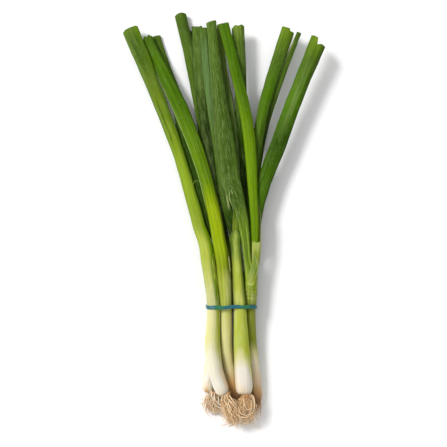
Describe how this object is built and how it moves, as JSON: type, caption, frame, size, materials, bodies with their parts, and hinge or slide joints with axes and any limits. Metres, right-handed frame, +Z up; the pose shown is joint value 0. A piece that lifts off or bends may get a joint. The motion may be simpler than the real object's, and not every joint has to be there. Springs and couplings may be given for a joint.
{
  "type": "spring onion bunch",
  "caption": "Bunch of spring onions lying flat: white bulbs with roots at one end, hollow green leaves fanned out at the other, held by a rubber band",
  "frame": {"origin": "middle of the bunch's footprint, on the surface it lies on", "axes": "+Y from the roots to the leaf tips, +X to the right seen from above, +Z up from the surface"},
  "size_m": [0.1542, 0.319, 0.0243],
  "materials": {
    "green_leaf": "waxy satin, fine lengthwise ribs",
    "white_stem": "moist satin, white at the bulb to yellow green",
    "root_fibre": "matte fibrous",
    "band_rubber": "dull teal rubber"
  },
  "bodies": {
    "root": {"onion_a_stem": "white_stem", "onion_a_roots": "root_fibre", "onion_f_stem": "white_stem", "onion_f_roots": "root_fibre", "onion_a_leaf_under": "green_leaf", "onion_a_leaf_long": "green_leaf", "onion_f_leaf_middle": "green_leaf", "onion_f_leaf_thin": "green_leaf", "onion_f_leaf_right": "green_leaf", "onion_c_stem": "white_stem", "onion_c_roots": "root_fibre", "onion_e_stem": "white_stem", "onion_e_roots": "root_fibre", "onion_b_stem": "white_stem", "onion_d_stem": "white_stem", "onion_d_roots": "root_fibre", "onion_b_roots": "root_fibre", "onion_b_leaf_under": "green_leaf", "onion_c_leaf_under": "green_leaf", "onion_d_leaf_left": "green_leaf", "onion_d_leaf_right": "green_leaf", "onion_d_leaf_short": "green_leaf", "onion_c_leaf_top": "green_leaf", "onion_b_leaf_top": "green_leaf", "onion_f_leaf_far_right": "green_leaf", "onion_e_leaf_wide": "green_leaf", "onion_e_leaf_bright": "green_leaf", "rubber_band": "band_rubber"}
  },
  "joints": []
}
